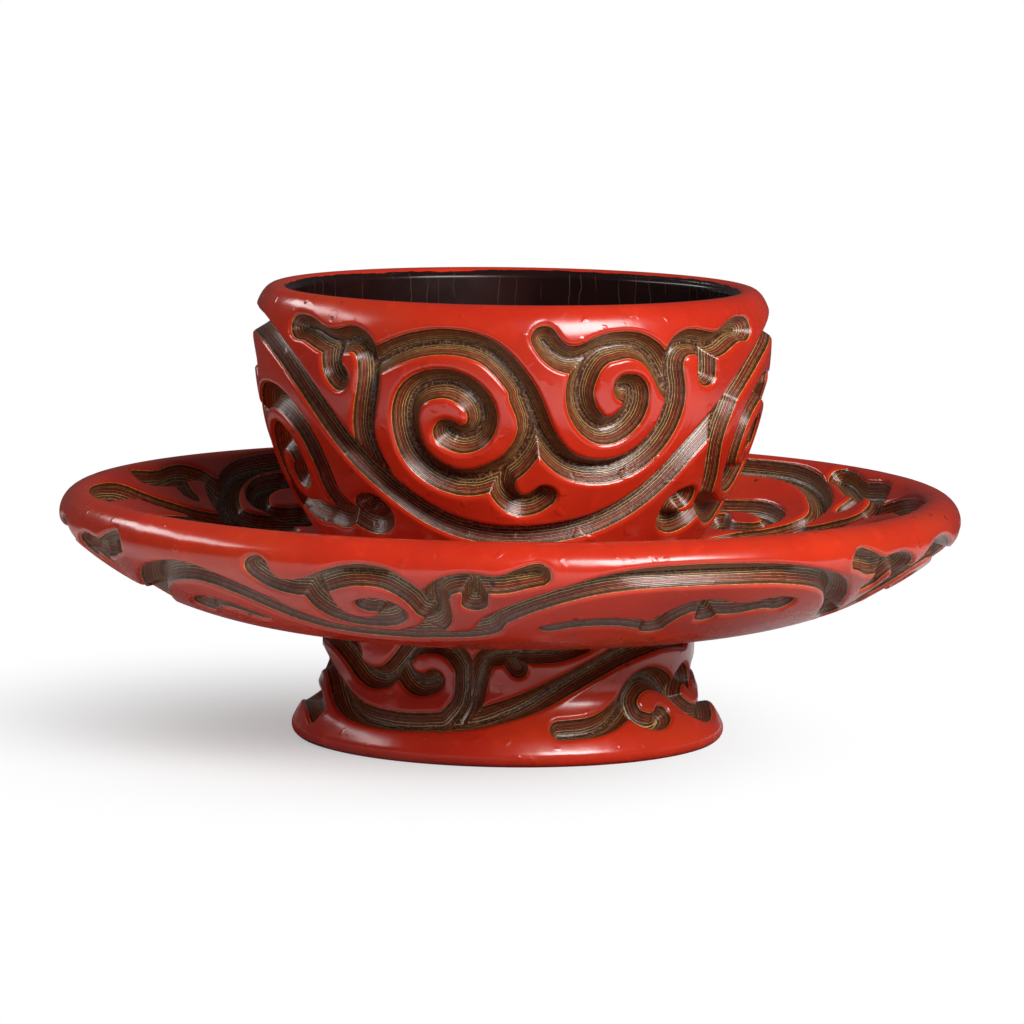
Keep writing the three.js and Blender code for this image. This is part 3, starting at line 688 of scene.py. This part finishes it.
def fine_cracks(f, where):
    """1 on the age cracks, which run down the wall and come and go."""
    around, _ = f.turn(where)
    angle = f.math("ADD", around, f.math("MULTIPLY", f.noise(where, 90, 3), 0.1))
    inputs = {"W": angle, "Scale": 11.0}
    cells = f.node("TexVoronoi", inputs, voronoi_dimensions="1D", feature="DISTANCE_TO_EDGE")
    crack = f.fade(cells.outputs["Distance"], 0.008, 0.03, 1, 0)
    return f.math("MULTIPLY", crack, f.fade(f.noise(where, 130, 2), 0.42, 0.58))


def lining_finish():
    f = Finish("black_lacquer_lining")
    where = f.place()
    cloudy = f.noise(where, 40, 4, 0.6)
    base = f.mix(f.fade(cloudy, 0.35, 0.7), BLACK, CLOUDY_BLACK)
    colour = f.mix(f.math("MULTIPLY", fine_cracks(f, where), 0.7), base, CRACK_COLOUR)
    dents = f.bump(f.noise(where, 110, 2), 0.0003, 0.25)
    rough = f.fade(cloudy, 0.3, 0.7, 0.2, 0.32)
    f.set(Base_Color=colour, Roughness=rough, Normal=dents, Specular_IOR_Level=0.35)
    return f.material


def wood_finish():
    f = Finish("bent_wood")
    around, height = f.turn(f.place())
    strip = f.node("CombineXYZ", {"X": around, "Z": f.math("MULTIPLY", height, 60.0)})
    grain = f.noise(strip.outputs["Vector"], 12, 6, 0.65)
    colour = f.steps(grain, [(0.3, WOOD_DARK), (0.7, WOOD_LIGHT)], "LINEAR")
    f.set(Base_Color=colour, Roughness=0.7, Normal=f.bump(grain, 0.0002, 0.4))
    return f.material


# Points round each piece. The bands of its map divide them.
CUP_COLUMNS = 756
DISH_COLUMNS = 960
FOOT_COLUMNS = 840
CUP_LINING_COLUMNS = 360
FOOT_LINING_COLUMNS = 300
FLOOR_COLUMNS = 96

# How high the lining and the coat's back follow the wall, as runs of the holder's outside.
LINING_TOP_RUN = 9.7
INNER_WALL_TOP_RUN = 12


def cup_coat(surface):
    runs = rows_between(surface.run[0], (2, 0.55), (4.5, 0.6), (50, 0.37), (surface.run[-1], 0.8))
    wall = [surface.at(run, COAT) for run in np.linspace(50, INNER_WALL_TOP_RUN, 9)]
    last = surface.at(surface.run[-1], COAT)
    top = STAND_HEIGHT - COAT
    inner = [(last[0], DISH_TOP), last, *wall, (wall[-1][0], top), (MOUTH_RADIUS, top)]
    return carved_piece("cup_coat", surface, runs, CUP_COLUMNS, cup_strokes(), inner, 2)


def dish_upper_coat(surface):
    runs = rows_between(0.0, (1, 0.5), (33, 0.46), (surface.run[-1], 0.9))
    inner = [surface.at(run, DISH_COAT) for run in np.linspace(surface.run[-1], 0, 12)]
    return carved_piece("dish_upper_coat", surface, runs, DISH_COLUMNS, inside_strokes(), inner, 4)


def dish_under_coat(surface):
    runs = rows_between(0.0, (5, 0.7), (34, 0.43), (surface.run[-1], 1.2))
    inner = [surface.at(run, DISH_COAT) for run in np.linspace(surface.run[-1], 0, 14)]
    return carved_piece("dish_under_coat", surface, runs, DISH_COLUMNS, underside_strokes(), inner, 4)


def foot_coat(surface):
    runs = rows_between(0.0, (20, 0.3), (surface.run[-1], 0.4))
    bottom = surface.at(surface.run[-1])
    step_radius = BASE_RADIUS + BASE_SEAM
    step = [(step_radius, bottom[1]), (step_radius, BASE_COAT), (35.3, BASE_COAT)]
    inner = [*step, (34.6, 3.6), (31.9, 7.5), (30.4, FOOT_WAIST_HEIGHT), (30.3, 16), (30, DISH_UNDER)]
    return carved_piece("foot_coat", surface, runs, FOOT_COLUMNS, foot_strokes(), inner, 3)


def cup_lining(surface):
    wall = [surface.at(run, LINING_FACE) for run in np.linspace(surface.run[-1], LINING_TOP_RUN, 40)]
    bore = [(NECK_BORE_RADIUS, DISH_MIDDLE), (NECK_BORE_RADIUS, 35.3)]
    seat = [(23.2, 35.7), (23.7, 35.85), (24.6, 35.9), (25.3, 36.2)]
    rim = arc((MOUTH_RADIUS, 80.85), 0.95, 0.95, 180, 90, 9)
    back = [surface.at(run, LINING_BACK) for run in np.linspace(LINING_TOP_RUN, surface.run[-1], 20)]
    bore_back = [(BORE_BACK_RADIUS, 35.2), (BORE_BACK_RADIUS, DISH_MIDDLE)]
    outline = [*bore, *seat, *wall, *rim, (MOUTH_RADIUS, 81.2), (41.1, 81), *back, *bore_back]
    return turned_piece("cup_lining_coat", outline, CUP_LINING_COLUMNS, 2)


def foot_lining():
    face = spline([(BASE_INNER_RADIUS, BASE_COAT), (32.5, 1.3), (29.7, 4.6), (27.4, 10.3), (27.2, 14.4)], 0.6)
    shoulder = [(27.0, 14.8), (26.6, 15.05), (24, 15.05), (23.2, 15.2), (NECK_BORE_RADIUS, 15.6)]
    bore = [(NECK_BORE_RADIUS, DISH_MIDDLE), (BORE_BACK_RADIUS, DISH_MIDDLE), (BORE_BACK_RADIUS, 15.7)]
    back = [(27.8, 15.7), (28.0, 10.4), (30.3, 5), (33.4, BASE_COAT)]
    return turned_piece("foot_lining_coat", [*face, *shoulder, *bore, *back], FOOT_LINING_COLUMNS, 2)


def foot_base():
    outer = [(BASE_RADIUS, BASE_COAT), (BASE_RADIUS, BASE_EDGE), (BASE_RADIUS - BASE_EDGE, 0)]
    outline = [(BASE_INNER_RADIUS, BASE_COAT), *outer, (33.1, 0), (32.8, BASE_EDGE)]
    return turned_piece("foot_base_ring", outline, FOOT_LINING_COLUMNS)


def make_object():
    carved, black, wood = carved_finish(), lining_finish(), wood_finish()
    cup, underside, inside, foot = cup_outside(), dish_underside(), dish_inside(), foot_outside()
    fit_in(cup_coat(cup), "cup_carved_coat", carved)
    fit_in(dish_upper_coat(inside), "dish_carved_coat", carved)
    fit_in(dish_under_coat(underside), "dish_carved_coat", carved)
    fit_in(foot_coat(foot), "foot_carved_coat", carved)
    fit_in(cup_lining(cup), "cup_lining", black)
    fit_in(foot_lining(), "foot_lining", black)
    fit_in(foot_base(), "foot_base_coat", black)
    for name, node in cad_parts.items():
        if "hoop" in name or "sleeve" in name:
            node.data.materials.clear()
            node.data.materials.append(wood)


# The camera, fitted to the photograph.
CAMERA_PLACE = (0, -1.00316, 0.1635)
CAMERA_PITCH = 6.962
CAMERA_ROLL = 0.7495
CAMERA_LENS = 193.56
CAMERA_SHIFT = 0.0018
CAMERA_SENSOR = 36
NEAREST_SEEN, FARTHEST_SEEN = 0.05, 20


def make_camera():
    camera = bpy.data.objects.new("camera", bpy.data.cameras.new("camera"))
    camera.data.lens = CAMERA_LENS
    camera.data.sensor_width = CAMERA_SENSOR
    camera.data.shift_x = CAMERA_SHIFT
    camera.data.clip_start, camera.data.clip_end = NEAREST_SEEN, FARTHEST_SEEN
    tilt = Matrix.Rotation(math.radians(90 - CAMERA_PITCH), 4, "X")
    roll = Matrix.Rotation(math.radians(CAMERA_ROLL), 4, "Z")
    camera.matrix_world = Matrix.Translation(CAMERA_PLACE) @ tilt @ roll
    bpy.context.scene.collection.objects.link(camera)
    bpy.context.scene.camera = camera


LAMP_AIM = (0, 0, 0.045)
WORLD_LIGHT = 0.06


def softbox(name, azimuth, elevation, distance, width, height, power, mirrored=True):
    """A flat lamp that faces the object. azimuth is 0 at the front and 90 at the right. mirrored says
    whether the lacquer shows its reflection."""
    lamp = bpy.data.lights.new(name, "AREA")
    lamp.shape = "RECTANGLE"
    lamp.size, lamp.size_y = width, height
    lamp.energy = power
    box = bpy.data.objects.new(name, lamp)
    box.visible_glossy = mirrored
    a, e = math.radians(azimuth), math.radians(elevation)
    away = np.array([math.sin(a) * math.cos(e), -math.cos(a) * math.cos(e), math.sin(e)])
    box.location = away * distance + LAMP_AIM
    box.rotation_mode = "QUATERNION"
    box.rotation_quaternion = Vector(away).to_track_quat("Z", "Y")
    bpy.context.scene.collection.objects.link(box)


def make_light():
    softbox("key_right", azimuth=37, elevation=31, distance=1.2, width=0.7, height=0.45, power=17)
    softbox("key_left", azimuth=-103, elevation=30, distance=0.8, width=0.8, height=0.13, power=2.2)
    softbox("fill_right", azimuth=30, elevation=36, distance=1.2, width=0.9, height=0.5, power=4.5,
            mirrored=False)
    world = bpy.data.worlds.new("studio")
    world.use_nodes = True
    bpy.context.scene.world = world
    nodes, links = world.node_tree.nodes, world.node_tree.links
    seen = nodes.new("ShaderNodeLightPath").outputs["Is Camera Ray"]
    shade = nodes.new("ShaderNodeMix")
    shade.inputs[0].default_value = 0
    shade.inputs[2].default_value = WORLD_LIGHT
    shade.inputs[3].default_value = 1.0
    links.new(seen, shade.inputs[0])
    links.new(shade.outputs[0], nodes["Background"].inputs["Strength"])
    nodes["Background"].inputs["Color"].default_value = (1, 1, 1, 1)


FLOOR_RADIUS = 300
FLOOR_HOLE_RADIUS = 0.001
FLOOR_TOP, FLOOR_BOTTOM = -0.02, -4
FLOOR_WHITE = (0.85, 0.85, 0.85)
# The shadow lies in an oval: on its edge a place in metres, times the scale and plus the shift, is 1 long.
SHADOW_SHIFT = (0.3, -0.04, 0)
SHADOW_SCALE = (10, 8.7, 0)
WHITE_AT_MIDDLE = 0.41  # the share of plain white over the shadow, which rises to 1 at the oval's edge


def make_floor():
    """A white disc that keeps the object's shadow and fades into the white behind it."""
    top = [(FLOOR_HOLE_RADIUS, FLOOR_TOP), (FLOOR_RADIUS, FLOOR_TOP)]
    bottom = [(FLOOR_RADIUS, FLOOR_BOTTOM), (FLOOR_HOLE_RADIUS, FLOOR_BOTTOM)]
    floor = turned_piece("floor", [*top, *bottom], FLOOR_COLUMNS)
    f = Finish("floor")
    shadowed = f.node("BsdfDiffuse", {"Color": FLOOR_WHITE}).outputs[0]
    seen = f.node("LightPath").outputs["Is Camera Ray"]
    white = f.node("Emission", {"Color": (1, 1, 1), "Strength": 1.0}).outputs[0]
    oval = f.node("Mapping", {"Vector": f.place(), "Location": SHADOW_SHIFT, "Scale": SHADOW_SCALE})
    from_middle = f.node("VectorMath", {0: oval.outputs["Vector"]}, operation="LENGTH").outputs["Value"]
    far = f.fade(from_middle, 0, 1, WHITE_AT_MIDDLE)
    share = f.math("MULTIPLY", far, seen)
    both = f.node("MixShader", {0: share, 1: shadowed, 2: white}).outputs[0]
    f.tree.links.new(both, f.tree.nodes["Material Output"].inputs["Surface"])
    floor.data.materials.append(f.material)


make_camera()
make_object()
make_light()
make_floor()
bpy.context.scene.view_settings.view_transform = "Standard"
bpy.context.view_layer.update()
